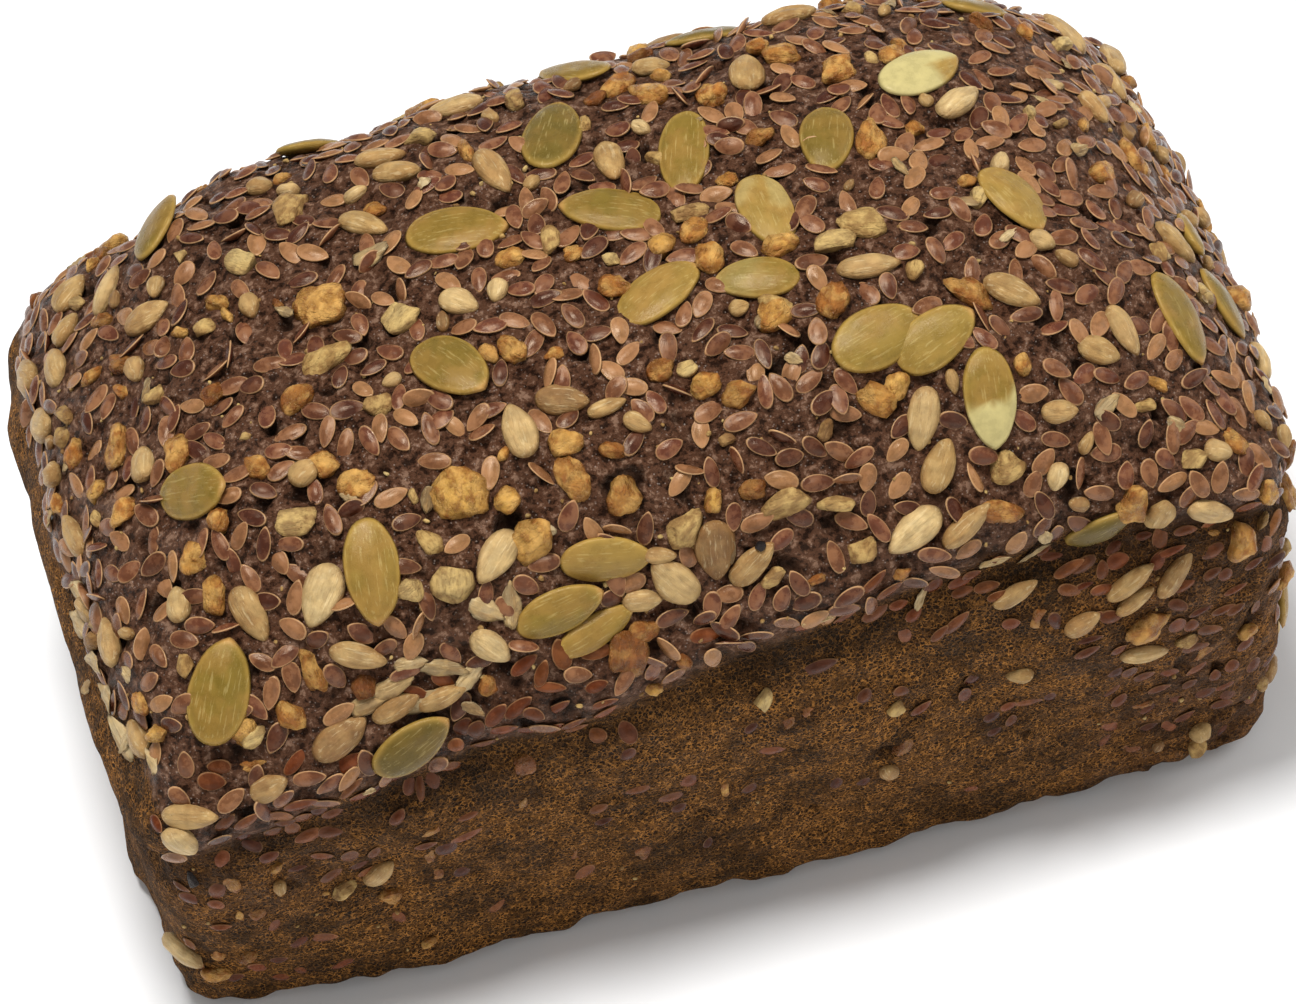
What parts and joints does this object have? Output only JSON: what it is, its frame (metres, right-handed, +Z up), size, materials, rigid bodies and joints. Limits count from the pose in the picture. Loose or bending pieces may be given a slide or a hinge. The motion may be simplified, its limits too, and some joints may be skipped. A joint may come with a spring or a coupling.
{
  "type": "seeded loaf",
  "caption": "Dark rye tin loaf with a domed top leaning over its walls in a soft lip, its crust set with pumpkin seeds, sunflower kernels, cracked grain and flax, one long wall nearly bare.",
  "frame": {"origin": "middle of the flat base the loaf stands on", "axes": "+X along the loaf, +Y from the nearly bare long wall to the other one, +Z up"},
  "size_m": [0.1826, 0.1115, 0.1069],
  "materials": {
    "crust": "matt, finely porous baked rye crust",
    "pumpkin_seed": "satin, olive to golden green",
    "sunflower_kernel": "matt, cream to tan",
    "grain": "satin, golden to orange tan",
    "flax": "satin, red brown with a pale edge"
  },
  "bodies": {
    "root": {"loaf": "crust"}
  },
  "joints": []
}
